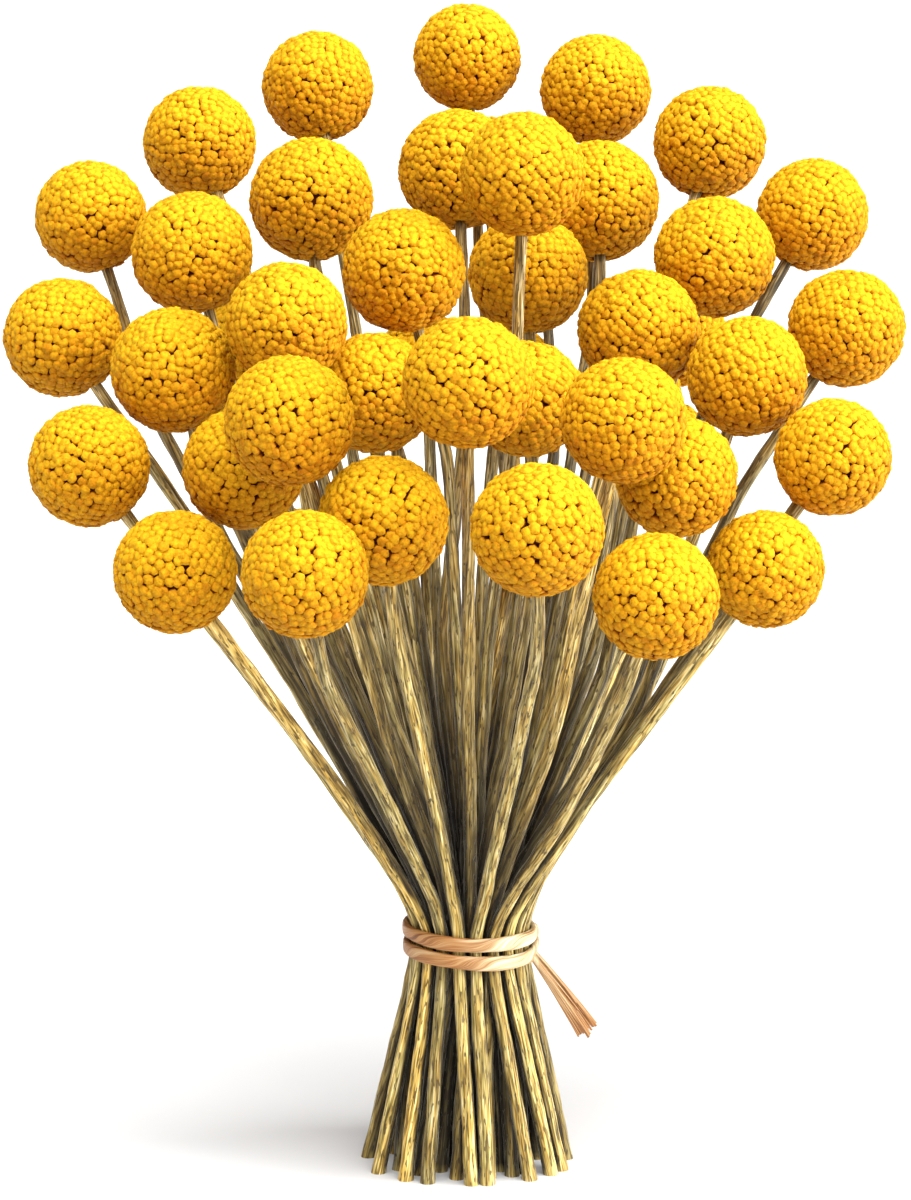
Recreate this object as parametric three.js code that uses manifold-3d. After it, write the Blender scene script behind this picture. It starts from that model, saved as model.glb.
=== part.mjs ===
// A hand-tied bunch of dried billy buttons: globe flower heads on straight leafless stems,
// held at the waist by raffia and standing on its own cut ends.
//
// Millimetres, +Z up. The cut ends stand on z = 0 and the front of the bunch looks along -Y.
// Every flower head is a solid of its own. Stems that press together under the tie are
// joined there, seven or eight to a solid. The raffia is one solid.

import * as THREE from 'three';
import { ConvexHull } from 'three/addons/math/ConvexHull.js';
import { mergeVertices } from 'three/addons/utils/BufferGeometryUtils.js';
import Module from 'manifold-3d';

const manifold = await Module();
manifold.setup();

// ---------------------------------------------------------------- driving dimensions

// Flower heads: the centre of each, then its diameter.
const HEADS = [
  // The crown, at the back and highest.
  [0, 83, 268, 28], [-38, 75, 261, 29], [33, 77, 260, 29], [-67, 55, 248, 29], [61, 57, 248, 29],
  // The rows below it, falling away to both sides.
  [-2, 61, 241, 31], [13, -11, 245, 30], [-38, 29, 236, 31], [33, 49, 234, 31], [-92, 25, 232, 28],
  [85, 31, 232, 28], [-66, 5, 225, 30], [60, 16, 223, 30], [-15, -8, 222, 30], [15, 25, 218, 30],
  // The middle of the dome.
  [-42, -31, 212, 29], [41, -3, 207, 30], [91, 3, 207, 29], [-97, 1, 205, 29], [0, -79, 204, 30],
  [-69, -22, 200, 30], [66, -18, 198, 29], [-22, -18, 194, 29], [14, -29, 194, 28], [35, -66, 194, 29],
  [-40, -67, 194, 30],
  // The lowest rows, at the front and sides.
  [85, -34, 181, 28], [-88, -34, 179, 29], [-52, -38, 179, 29], [48, -44, 178, 29],
  [15, -97, 174, 30], [-19, -66, 171, 30], [-36, -90, 163, 29], [-67, -52, 157, 29],
  [42, -79, 156, 29], [69, -42, 156, 28],
  // The back of the dome.
  [6, 102, 238, 28], [-42, 90, 230, 28], [19, 78, 220, 28], [-72, 84, 216, 28], [-17, 104, 211, 29],
  [54, 92, 196, 29], [-54, 68, 196, 29], [-10, 62, 190, 29], [11, 98, 183, 29], [41, 66, 182, 29],
  [-24, 98, 180, 29], [-52, 86, 170, 29], [52, 94, 164, 29], [-24, 74, 150, 29], [18, 68, 148, 29],
  [-43, 52, 142, 28],
];

const FLORETS = 38;         // florets in relief on a head, each one larger than life
const FLORET_RELIEF = 1.9;  // from the tip of a floret down to the crease around it
const SHORTEST_CREASE = 0.2;
const DOCK_SETBACK = 2.6;   // the flat under a head, in from its full radius
const DOCK_GAP = 0.3;       // between that flat and the top of the stem

// Stems: the diameter at the foot, in the waist, and from a long way above it up to the head.
const STEM_DIAMETER = { foot: 3.6, waist: 3.15, head: 2.8 };
const STEM_SIDES = 6;
const STEM_SOLIDS = 7;

// The waist: the stems run straight up through it, ring around ring.
const WAIST = { x: 0.7, y: -3, bottom: 54, top: 62 };
const WAIST_RINGS = [
  { stems: 1, radius: 0, twist: 0 },
  { stems: 6, radius: 3.25, twist: 24 },
  { stems: 10, radius: 6.5, twist: -14 },
  { stems: 15, radius: 9.7, twist: -16 },
  { stems: 20, radius: 12.95, twist: 4 },
];
const WAIST_RADIUS = WAIST_RINGS.at(-1).radius;
const PRESS_WIDTH = 2.4;    // of the joint between two stems pressed together

// The feet stand in an oval around the origin, spread wider than the waist. It reaches further back
// than to the front, so that the bunch stands firmly under the heads that lean back.
const FOOT = { halfWidth: 24.7, frontDepth: 18.5, backDepth: 29.5, stray: 14, clearance: 0.3 };

// The fan: each stem bends at three shares of its rise from the waist to its head. There it has
// leant out by that share to the power of its curve, less a lag. High heads have curvier stems.
const FAN_BENDS = [{ rise: 0.1, lag: 0.2 }, { rise: 0.38, lag: 0.05 }, { rise: 0.72, lag: 0 }];
const FAN_CURVE = { least: 1.06, most: 1.25, leastAt: 178, mostAt: 208 };
const TAPER_HEIGHT = 120;   // above the waist, until a stem is as slim as at its head

// The fan is full: an eye in front of it sees no daylight between its stems, but for the
// outermost ones. The fall is the drop of its line of sight per millimetre.
const EYE = { distance: 1000, fall: 0.185 };
const FULL = { bottom: 84, top: 190, step: 7, share: 0.82, overlap: 0.5, pull: 0.25, even: 0.12 };

// How the stems find their way: the room they keep and the strength of each small move.
const STEM_CLEARANCE = 0.5;
const HEAD_CLEARANCE = 0.9;
const FREE_FROM = WAIST.top + 1.5;
const FREED_HEIGHT = 9;     // above the waist, until the stems have their full clearance
const LEVEL_STEP = 4;
const FOOT_STEPS = 400;
const SHAPE_STEPS = 600;
const CLEAR_STEPS = 150;
const STRAIGHTENING = 0.12;
const STEM_PUSH = 0.35;
const HEAD_PUSH = 0.5;
const FOOT_PUSH = 0.3;
const MOST_NUDGE = 0.5;

// Raffia: two wraps and a small knot on the right, with loose ends from under the lower wrap.
const RAFFIA_WIDTH = 3.4;
const RAFFIA_THICKNESS = 1.7;
const RAFFIA_GAP = 0.3;
const WRAPS = [
  { height: 60.1, fall: 0.04 },   // fall: drop per millimetre towards +X
  { height: 55.6, fall: 0.055 },
];
const KNOT = { angle: 96, height: 57, size: [2.8, 3.8, 7.6] };
const LOOSE_END = { thickness: 1, rootWidth: 1.6, rootHeight: 55.1, bow: 0.6 };
const LOOSE_ENDS = [
  { angle: 82, tip: [31, -11, 38.4], width: 2.4 },
  { angle: 70, tip: [28.4, -14, 35.6], width: 2.6 },
];

// ---------------------------------------------------------------- small helpers

const UP = new THREE.Vector3(0, 0, 1);
const TURN = 2 * Math.PI;

/** A repeatable source of numbers from 0 to 1. */
function seededRandom(seed) {
  let state = seed;
  return () => {
    state = (state * 1664525 + 1013904223) % 4294967296;
    return state / 4294967296;
  };
}

/** A closed geometry from points and triangles of point numbers. */
function geometryFrom(points, triangles) {
  const geometry = new THREE.BufferGeometry();
  const numbers = points.flatMap((point) => point.toArray());
  geometry.setAttribute('position', new THREE.Float32BufferAttribute(numbers, 3));
  geometry.setIndex(triangles.flat());
  return geometry;
}

function toManifold(geometry) {
  const bare = new THREE.BufferGeometry();
  bare.setAttribute('position', geometry.getAttribute('position'));
  bare.setIndex(geometry.getIndex());
  const merged = mergeVertices(bare, 1e-4);
  return new manifold.Manifold(new manifold.Mesh({
    numProp: 3,
    vertProperties: new Float32Array(merged.getAttribute('position').array),
    triVerts: new Uint32Array(merged.getIndex().array),
  }));
}

/** One closed geometry from several that overlap. */
function joined(geometries) {
  const solid = geometries.map(toManifold).reduce((sum, next) => sum.add(next));
  const mesh = solid.getMesh();
  const geometry = new THREE.BufferGeometry();
  geometry.setAttribute('position', new THREE.BufferAttribute(new Float32Array(mesh.vertProperties), 3));
  geometry.setIndex(new THREE.BufferAttribute(new Uint32Array(mesh.triVerts), 1));
  return geometry;
}

/** Skins a row of six-sided rings, with a flat face at both ends. */
function skin(rings) {
  const sides = 6;
  const points = rings.flat();
  const triangles = [];
  for (let r = 0; r < rings.length - 1; r += 1) {
    for (let s = 0; s < sides; s += 1) {
      const here = r * sides + s;
      const next = r * sides + (s + 1) % sides;
      triangles.push([here, next, next + sides], [here, next + sides, here + sides]);
    }
  }
  // Each end is one large triangle over its middle and three small ones beside it.
  const end = [[0, 2, 4], [0, 1, 2], [2, 3, 4], [4, 5, 0]];
  const last = (rings.length - 1) * sides;
  for (const [a, b, c] of end) {
    triangles.push([a, c, b], [last + a, last + b, last + c]);
  }
  return geometryFrom(points, triangles);
}

// ---------------------------------------------------------------- flower heads

/** Directions of the florets, on a loose golden spiral with one at each pole. */
function floretDirections(random) {
  const directions = [];
  for (let i = 0; i < FLORETS; i += 1) {
    const z = 1 - 2 * i / (FLORETS - 1);
    const angle = i * Math.PI * (3 - Math.sqrt(5));
    const around = Math.sqrt(Math.max(0, 1 - z * z));
    const direction = new THREE.Vector3(around * Math.cos(angle), around * Math.sin(angle), z);
    if (i < FLORETS - 1) {
      direction.x += 0.09 * (random() - 0.5);
      direction.y += 0.09 * (random() - 0.5);
    }
    directions.push(direction.normalize());
  }
  return directions;
}

/** The shortest crease between two florets, on a globe of radius 1. */
function shortestCrease(hull) {
  const edges = hull.faces.flatMap((face) => [face.edge, face.edge.next, face.edge.prev]);
  return Math.min(...edges.map((edge) => edge.face.normal.distanceTo(edge.twin.face.normal)));
}

/**
 * A head as a globe of blunt florets: every floret is a low pyramid over its own patch of
 * the globe. The floret underneath is a flat, where the stem meets the head.
 */
function headGeometry(radius, random) {
  let directions;
  let hull;
  do {
    directions = floretDirections(random);
    hull = new ConvexHull().setFromPoints(directions);
  } while (shortestCrease(hull) * radius < SHORTEST_CREASE);
  const number = new Map(directions.map((direction, i) => [direction, i]));
  const under = directions[FLORETS - 1];
  const dock = radius - DOCK_SETBACK;

  const corner = new Map();
  const points = directions.map((direction) => direction.clone().multiplyScalar(radius));
  points[FLORETS - 1].copy(under).multiplyScalar(dock);
  for (const face of hull.faces) {
    const creased = face.normal.clone().multiplyScalar(radius - FLORET_RELIEF);
    const touchesDock = [face.edge, face.edge.next, face.edge.prev].some((e) => e.head().point === under);
    if (touchesDock) creased.multiplyScalar(-dock / creased.z);
    corner.set(face, points.length);
    points.push(creased);
  }

  const triangles = [];
  for (const face of hull.faces) {
    for (const edge of [face.edge, face.edge.next, face.edge.prev]) {
      const floret = number.get(edge.tail().point);
      triangles.push([floret, corner.get(edge.twin.face), corner.get(face)]);
    }
  }
  return geometryFrom(points, triangles);
}

// ---------------------------------------------------------------- stems

/** Places of the stems in the waist and of their feet, ring by ring from the middle out. */
function waistSlots(random) {
  const slots = [];
  let start = -90;
  for (const ring of WAIST_RINGS) {
    const step = 360 / ring.stems;
    for (let i = 0; i < ring.stems; i += 1) {
      const angle = THREE.MathUtils.degToRad(start + i * step);
      const stray = FOOT.stray * (2 * random() - 1);
      const footAngle = angle + THREE.MathUtils.degToRad(ring.twist + stray);
      const spread = ring.radius / WAIST_RADIUS;
      const footDepth = Math.sin(footAngle) > 0 ? FOOT.backDepth : FOOT.frontDepth;
      slots.push({
        order: slots.length,
        x: WAIST.x + ring.radius * Math.cos(angle),
        y: WAIST.y + ring.radius * Math.sin(angle),
        foot: new THREE.Vector3(
          spread * FOOT.halfWidth * Math.cos(footAngle),
          spread * footDepth * Math.sin(footAngle),
          0,
        ),
      });
    }
    start += (ring.stems - 1) * step;
  }
  return slots;
}

/** The diameter of a stem at a height. */
function stemDiameter(z) {
  const { foot, waist, head } = STEM_DIAMETER;
  if (z < WAIST.bottom) return THREE.MathUtils.lerp(foot, waist, z / WAIST.bottom);
  const share = THREE.MathUtils.clamp((z - WAIST.top) / TAPER_HEIGHT, 0, 1);
  return THREE.MathUtils.lerp(waist, head, share);
}

/** Moves two feet apart where their stems come too close at a height below the waist. */
function partFeet(a, b, z) {
  const share = 1 - z / WAIST.bottom;
  const x = THREE.MathUtils.lerp(a.x - b.x, a.foot.x - b.foot.x, share);
  const y = THREE.MathUtils.lerp(a.y - b.y, a.foot.y - b.foot.y, share);
  const distance = Math.hypot(x, y);
  const wanted = stemDiameter(z) + FOOT.clearance * Math.min(1, 4 * share);
  if (distance >= wanted) return;
  const push = FOOT_PUSH * share * (wanted - distance) / distance;
  b.foot.x -= push * x;
  b.foot.y -= push * y;
  if (a.order === 0) return;  // The middle stem stands on the origin.
  a.foot.x += push * x;
  a.foot.y += push * y;
}

/** Spreads the feet within their oval until no two stems touch below the waist. */
function spreadFeet(slots) {
  for (let step = 0; step < FOOT_STEPS; step += 1) {
    for (const [i, slot] of slots.entries()) {
      for (const other of slots.slice(i + 1)) {
        for (let z = 0; z < WAIST.bottom - LEVEL_STEP; z += LEVEL_STEP) partFeet(slot, other, z);
      }
    }
    for (const { foot } of slots) {
      const depth = foot.y > 0 ? FOOT.backDepth : FOOT.frontDepth;
      const reach = Math.hypot(foot.x / FOOT.halfWidth, foot.y / depth);
      if (reach > 1) foot.divideScalar(reach);
    }
  }
}

/** Where a head would pass through the waist if its stem fanned out evenly. */
function aimOf([x, y, z]) {
  const rise = z - WAIST.bottom;
  const fanWidth = 21;
  return { x: WAIST.x + fanWidth * (x - WAIST.x) / rise, y: WAIST.y + fanWidth * (y - WAIST.y) / rise };
}

/** Gives every head the slot that suits it, by swapping pairs while that helps. */
function matchSlots(slots, heads) {
  const aims = heads.map(aimOf);
  const cost = (h, s) => (aims[h].x - slots[s].x) ** 2 + (aims[h].y - slots[s].y) ** 2;
  const slotOf = heads.map((head, i) => i);
  let better = true;
  while (better) {
    better = false;
    for (let a = 0; a < heads.length; a += 1) {
      for (let b = a + 1; b < heads.length; b += 1) {
        const now = cost(a, slotOf[a]) + cost(b, slotOf[b]);
        const swapped = cost(a, slotOf[b]) + cost(b, slotOf[a]);
        if (swapped < now - 1e-9) {
          [slotOf[a], slotOf[b]] = [slotOf[b], slotOf[a]];
          better = true;
        }
      }
    }
  }
  return slotOf;
}

/** The point at the height of `here` on the straight line from `below` to `above`. */
function onLine(below, above, here) {
  return below.clone().lerp(above, (here.z - below.z) / (above.z - below.z));
}

/** A stem above the waist: straight runs between joints, the last one up into its head. */
function newRoute(slot, [x, y, z, diameter]) {
  const { least, most, leastAt, mostAt } = FAN_CURVE;
  const height = THREE.MathUtils.clamp(z, leastAt, mostAt);
  const curve = THREE.MathUtils.mapLinear(height, leastAt, mostAt, least, most);
  const head = new THREE.Vector3(x, y, z);
  const joints = [new THREE.Vector3(slot.x, slot.y, WAIST.top)];
  for (const { rise, lag } of FAN_BENDS) {
    const joint = joints[0].clone().lerp(head, rise ** curve * (1 - lag));
    joint.z = THREE.MathUtils.lerp(WAIST.top, head.z, rise);
    joints.push(joint);
  }
  // The bow of a joint is how far it lies off the straight line between its neighbours.
  const line = [...joints, head];
  const bows = [];
  for (let i = 1; i < joints.length; i += 1) {
    bows.push(line[i].clone().sub(onLine(line[i - 1], line[i + 1], line[i])));
  }
  const route = { slot, head, radius: diameter / 2, joints, bows };
  dockRoute(route);
  return route;
}

/** Turns the head to face along the last run and ends the stem just under its flat. */
function dockRoute(route) {
  route.axis = route.head.clone().sub(route.joints.at(-1)).normalize();
  route.top = route.head.clone().addScaledVector(route.axis, DOCK_SETBACK - DOCK_GAP - route.radius);
}

/** The point of a route at a height, with the joint below it and the share of the run done. */
function pointAt(route, z) {
  const line = [...route.joints, route.top];
  let run = 0;
  while (run < line.length - 2 && line[run + 1].z < z) run += 1;
  const share = (z - line[run].z) / (line[run + 1].z - line[run].z);
  const point = line[run].clone().lerp(line[run + 1], share);
  const along = line[run + 1].clone().sub(line[run]).normalize();
  return { point, run, share, along };
}

/** Moves a route sideways near one of its points. The waist and the head stay put. */
function nudge(route, { run, share }, wantedX, wantedY) {
  const gentle = Math.min(1, MOST_NUDGE / Math.max(Math.hypot(wantedX, wantedY), 1e-6));
  const x = gentle * wantedX;
  const y = gentle * wantedY;
  const joints = route.joints;
  if (run > 0) {
    joints[run].x += x * (1 - share);
    joints[run].y += y * (1 - share);
  }
  if (run + 1 < joints.length) {
    joints[run + 1].x += x * share;
    joints[run + 1].y += y * share;
  }
}

/** Pushes two stems apart where they pass too close at one height. */
function partStems(a, b, z) {
  const atA = pointAt(a, z);
  const atB = pointAt(b, z);
  const away = atA.point.sub(atB.point);
  const along = atA.along.add(atB.along).normalize();
  const distance = Math.sqrt(Math.max(away.lengthSq() - away.dot(along) ** 2, 1e-9));
  const freed = Math.min(1, (z - WAIST.top) / FREED_HEIGHT);
  const wanted = stemDiameter(z) + STEM_CLEARANCE * freed;
  if (distance >= wanted) return;
  const push = STEM_PUSH * (wanted - distance) / distance;
  nudge(a, atA, away.x * push, away.y * push);
  nudge(b, atB, -away.x * push, -away.y * push);
}

/** Pushes a stem out of the way of a head that isn't its own. */
function clearHead(route, other, z) {
  const at = pointAt(route, z);
  const away = at.point.sub(other.head);
  const distance = away.length();
  const wanted = other.radius + stemDiameter(z) / 2 + HEAD_CLEARANCE;
  if (distance >= wanted) return;
  const sideways = Math.max(Math.hypot(away.x, away.y), 1e-6);
  const push = HEAD_PUSH * (wanted - distance) / sideways;
  nudge(route, at, away.x * push, away.y * push);
}

/** Where a stem crosses the line of sight that meets the middle of the bunch at a height. */
function inSight(route, level) {
  let at = pointAt(route, level);
  for (let i = 0; i < 3; i += 1) at = pointAt(route, level - EYE.fall * at.point.y);
  const { point, along } = at;
  const nearness = EYE.distance / (EYE.distance + point.y);
  const width = nearness * stemDiameter(point.z) / Math.hypot(along.z, along.y);
  return { ...at, route, seen: point.x * nearness, width };
}

/** Closes the daylight between stems at a height and evens out their row, as an eye sees it. */
function fillFan(routes, level) {
  const row = routes
    .filter((route) => route.top.z - 2 * LEVEL_STEP > level - EYE.fall * route.head.y)
    .map((route) => inSight(route, level))
    .sort((a, b) => a.seen - b.seen);
  const reach = FULL.share * Math.max(-row[0].seen, row.at(-1).seen);
  for (let i = 1; i < row.length; i += 1) {
    const [left, right] = [row[i - 1], row[i]];
    if (Math.max(-left.seen, right.seen) > reach) continue;
    const daylight = right.seen - left.seen - (left.width + right.width) / 2 + FULL.overlap;
    if (daylight <= 0) continue;
    nudge(left.route, left, FULL.pull * daylight, 0);
    nudge(right.route, right, -FULL.pull * daylight, 0);
  }
  for (let i = 1; i < row.length - 1; i += 1) {
    if (Math.abs(row[i].seen) > reach) continue;
    const middle = (row[i - 1].seen + row[i + 1].seen) / 2;
    nudge(row[i].route, row[i], FULL.even * (middle - row[i].seen), 0);
  }
}

/** Lets every bend of a stem ease back towards its first form. */
function straighten({ joints, bows, head }, strength) {
  const line = [...joints, head];
  for (const [i, bow] of bows.entries()) {
    const joint = line[i + 1];
    const eased = onLine(line[i], line[i + 2], joint).add(bow);
    joint.lerp(eased, strength);
  }
}

/** Pushes every stem clear of the other stems and of their heads. */
function keepClear(routes) {
  for (const [i, route] of routes.entries()) {
    for (const other of routes) {
      if (other === route) continue;
      const lowest = Math.max(FREE_FROM, other.head.z - other.radius - LEVEL_STEP);
      const highest = Math.min(route.top.z, other.head.z + other.radius + LEVEL_STEP);
      for (let z = lowest; z <= highest; z += LEVEL_STEP) clearHead(route, other, z);
    }
    for (const other of routes.slice(i + 1)) {
      const highest = Math.min(route.top.z, other.top.z);
      for (let z = FREE_FROM; z <= highest; z += LEVEL_STEP) partStems(route, other, z);
    }
  }
  routes.forEach(dockRoute);
}

/** Routes all the stems from the waist to their heads, clear of each other. */
function routeStems(random) {
  const slots = waistSlots(random);
  spreadFeet(slots);
  const slotOf = matchSlots(slots, HEADS);
  const routes = HEADS.map((head, h) => newRoute(slots[slotOf[h]], head));
  for (let step = 0; step < SHAPE_STEPS; step += 1) {
    for (const route of routes) straighten(route, STRAIGHTENING * (1 - step / SHAPE_STEPS));
    for (let level = FULL.bottom; level <= FULL.top; level += FULL.step) fillFan(routes, level);
    keepClear(routes);
  }
  for (let step = 0; step < CLEAR_STEPS; step += 1) keepClear(routes);
  return routes;
}

/** The round section of a leaning stem, cut level at a joint or square at its top. */
function stemRing(centre, along, level) {
  const side = new THREE.Vector3(1, 0, 0).addScaledVector(along, -along.x).normalize();
  const front = along.clone().cross(side);
  const ring = [];
  for (let s = 0; s < STEM_SIDES; s += 1) {
    const angle = TURN * s / STEM_SIDES;
    const point = centre.clone();
    point.addScaledVector(side, Math.cos(angle) * stemDiameter(centre.z) / 2);
    point.addScaledVector(front, Math.sin(angle) * stemDiameter(centre.z) / 2);
    if (level) {
      point.addScaledVector(along, (centre.z - point.z) / along.z);
      point.z = centre.z;
    }
    ring.push(point);
  }
  return ring;
}

function stemGeometry(route) {
  const { slot, joints, top, axis } = route;
  const line = [slot.foot, new THREE.Vector3(slot.x, slot.y, WAIST.bottom), ...joints, top];
  const rings = line.map((point, i) => {
    if (i === line.length - 1) return stemRing(point, axis, false);
    const below = line[Math.max(i - 1, 0)];
    const above = line[i + 1];
    const inWaist = i === 1 || i === 2;
    const along = inWaist ? UP.clone() : above.clone().sub(below).normalize();
    return stemRing(point, along, true);
  });
  return skin(rings);
}

/** The joint between two stems that are pressed together under the tie. */
function pressedJoint(a, b) {
  const height = WAIST.top - WAIST.bottom - 3;
  const geometry = new THREE.BoxGeometry(Math.hypot(b.x - a.x, b.y - a.y), PRESS_WIDTH, height);
  geometry.rotateZ(Math.atan2(b.y - a.y, b.x - a.x));
  geometry.translate((a.x + b.x) / 2, (a.y + b.y) / 2, (WAIST.top + WAIST.bottom) / 2);
  return geometry;
}

function stemGroupGeometry(routes) {
  const pieces = routes.map(stemGeometry);
  for (let i = 1; i < routes.length; i += 1) {
    pieces.push(pressedJoint(routes[i - 1].slot, routes[i].slot));
  }
  return joined(pieces);
}

// ---------------------------------------------------------------- raffia tie

const WRAP_RADIUS = WAIST_RADIUS + STEM_DIAMETER.waist / 2 + RAFFIA_GAP + RAFFIA_THICKNESS / 2;

/** A flattened strand section: wide along the bunch, thin across it. */
function strandRing(centre, outward, upward, width, thickness) {
  const profile = [[0, -0.5], [0.5, -0.28], [0.5, 0.28], [0, 0.5], [-0.5, 0.28], [-0.5, -0.28]];
  return profile.map(([out, up]) => centre.clone()
    .addScaledVector(outward, out * thickness)
    .addScaledVector(upward, up * width));
}

/** A point on the wraps: angle 0 at the front, rising towards the right. */
function wrapPoint(angle, height, fall, radius) {
  const x = radius * Math.sin(angle);
  return new THREE.Vector3(WAIST.x + x, WAIST.y - radius * Math.cos(angle), height - fall * x);
}

/** One closed turn of raffia around the waist. */
function wrapGeometry({ height, fall }) {
  const steps = 30;
  const points = [];
  const triangles = [];
  for (let i = 0; i < steps; i += 1) {
    const angle = TURN * i / steps;
    const outward = new THREE.Vector3(Math.sin(angle), -Math.cos(angle), 0);
    const centre = wrapPoint(angle, height, fall, WRAP_RADIUS);
    points.push(...strandRing(centre, outward, UP, RAFFIA_WIDTH, RAFFIA_THICKNESS));
  }
  const sides = points.length / steps;
  for (let i = 0; i < steps; i += 1) {
    for (let s = 0; s < sides; s += 1) {
      const here = i * sides + s;
      const beside = i * sides + (s + 1) % sides;
      const ahead = ((i + 1) % steps) * sides + s;
      const across = ((i + 1) % steps) * sides + (s + 1) % sides;
      triangles.push([here, ahead, across], [here, across, beside]);
    }
  }
  return geometryFrom(points, triangles);
}

/** The knot, a short lump across both wraps that pulls them together. */
function knotGeometry() {
  const angle = THREE.MathUtils.degToRad(KNOT.angle);
  const [thickness, width, height] = KNOT.size;
  const geometry = new THREE.IcosahedronGeometry(0.5, 1);
  geometry.scale(thickness, width, height);
  geometry.rotateZ(angle - Math.PI / 2);
  const centre = wrapPoint(angle, KNOT.height, 0, WRAP_RADIUS + (thickness - RAFFIA_THICKNESS) / 2);
  geometry.translate(centre.x, centre.y, centre.z);
  geometry.deleteAttribute('normal');
  geometry.deleteAttribute('uv');
  return mergeVertices(geometry);
}

/** A loose end of the raffia, from inside the lower wrap down to a flat frayed tip. */
function looseEndGeometry({ angle, tip, width }) {
  const start = wrapPoint(THREE.MathUtils.degToRad(angle), LOOSE_END.rootHeight, 0, WRAP_RADIUS + 0.3);
  const end = new THREE.Vector3(...tip);
  const middle = start.clone().lerp(end, 0.5);
  middle.x += LOOSE_END.bow;
  const curve = new THREE.QuadraticBezierCurve3(start, middle, end);
  const steps = 5;
  const rings = [];
  for (let i = 0; i <= steps; i += 1) {
    const share = i / steps;
    const along = curve.getTangentAt(share);
    const outward = along.clone().cross(new THREE.Vector3(0.6, 0, 0.8)).normalize();
    const upward = along.clone().cross(outward).normalize();
    const spread = THREE.MathUtils.lerp(LOOSE_END.rootWidth, width, share);
    rings.push(strandRing(curve.getPointAt(share), outward, upward, spread, LOOSE_END.thickness));
  }
  return skin(rings);
}

function tieGeometry() {
  return joined([
    ...WRAPS.map(wrapGeometry),
    knotGeometry(),
    ...LOOSE_ENDS.map(looseEndGeometry),
  ]);
}

// ---------------------------------------------------------------- materials

const headYellow = new THREE.MeshStandardMaterial({ color: 0xf0b40a, roughness: 0.9, metalness: 0 });
const stemOlive = new THREE.MeshStandardMaterial({ color: 0xa0966a, roughness: 0.85, metalness: 0 });
const raffiaTan = new THREE.MeshStandardMaterial({ color: 0xe0b37c, roughness: 0.7, metalness: 0 });

// ---------------------------------------------------------------- assembly

const bunch = new THREE.Group();
bunch.name = 'billy_buttons_bunch';

function addPiece(name, geometry, material) {
  const mesh = new THREE.Mesh(geometry, material);
  mesh.name = name;
  bunch.add(mesh);
}

const twoDigits = (n) => String(n).padStart(2, '0');
const random = seededRandom(20);
const routes = routeStems(random);

routes.forEach((route, i) => {
  const geometry = headGeometry(route.radius, random);
  geometry.rotateZ(TURN * random());
  geometry.applyQuaternion(new THREE.Quaternion().setFromUnitVectors(UP, route.axis));
  geometry.translate(route.head.x, route.head.y, route.head.z);
  addPiece(`flower_head_${twoDigits(i + 1)}`, geometry, headYellow);
});

const byRing = [...routes].sort((a, b) => a.slot.order - b.slot.order);
for (let i = 0; i < STEM_SOLIDS; i += 1) {
  const first = Math.round(i * byRing.length / STEM_SOLIDS);
  const past = Math.round((i + 1) * byRing.length / STEM_SOLIDS);
  addPiece(`stems_${twoDigits(i + 1)}`, stemGroupGeometry(byRing.slice(first, past)), stemOlive);
}

addPiece('raffia_tie', tieGeometry(), raffiaTan);

export default bunch;
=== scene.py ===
"""A hand-tied bunch of dried billy buttons: globe flowers on straight stems that fan out above a raffia
tie, and below it stand on their cut ends."""
import math
import random

import bpy
from mathutils import Euler, Matrix, Vector


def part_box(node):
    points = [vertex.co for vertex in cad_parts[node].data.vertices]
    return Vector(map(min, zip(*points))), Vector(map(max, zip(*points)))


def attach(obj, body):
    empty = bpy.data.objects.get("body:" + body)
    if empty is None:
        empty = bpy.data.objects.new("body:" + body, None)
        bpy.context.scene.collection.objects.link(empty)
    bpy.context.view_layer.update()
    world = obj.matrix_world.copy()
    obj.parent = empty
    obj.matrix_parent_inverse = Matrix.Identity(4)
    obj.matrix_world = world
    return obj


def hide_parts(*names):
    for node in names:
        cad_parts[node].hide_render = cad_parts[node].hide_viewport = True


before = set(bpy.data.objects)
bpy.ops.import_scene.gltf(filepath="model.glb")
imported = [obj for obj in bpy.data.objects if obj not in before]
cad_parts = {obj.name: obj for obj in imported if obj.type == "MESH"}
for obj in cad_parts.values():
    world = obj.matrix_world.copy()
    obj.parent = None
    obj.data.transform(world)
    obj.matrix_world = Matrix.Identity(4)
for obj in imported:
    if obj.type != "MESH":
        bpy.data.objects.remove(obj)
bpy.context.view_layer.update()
MM = 0.001

# ---------------------------------------------------------------- Stems
# Each flower grows on one leafless stem, air-dried until its fibres stand out as fine ribs. The stems are
# bound at the waist, so they spread above and below it, and their feet are cut level to stand on. They
# are a little fuller in the fan, and those at its middle lean together.

FOOT_RADIUS = 1.8 * MM
WAIST_RADIUS = 1.58 * MM
FAN_RADIUS = 1.66 * MM
NECK_RADIUS = 1.38 * MM
WAIST_BOTTOM = 54.0 * MM
WAIST_TOP = 62.0 * MM
TAPER_BOTTOM = 120 * MM  # a stem thins from here up to its neck
TAPER_TOP = 215 * MM
FLARE = 1.08  # how much wider the cut end is than the stem just above it
FLARE_TOP = 3.5 * MM
LEAN_TOGETHER = 0.45  # the stems at the middle of the fan lean towards each other by this share
LEAN_MIDDLE = 1.7 * MM
LEAN_REACH = 4 * MM  # how far to both sides of the middle they do so
LEAN_HEIGHTS = ((70 * MM, 100 * MM), (200 * MM, 160 * MM))  # from no lean to the full lean
STEM_SIDES = 16
STEM_STEP = 2.4 * MM
STEM_BEND = 7.0 * MM  # how far to both sides of a bend it is rounded
BEND_SHARE = 0.45  # the most of a straight length that one rounded bend takes up
STEM_UNEVENNESS = 0.09  # how much a stem swells and thins, as a share of its radius
SWELL_LENGTH = 8 * MM
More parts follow.
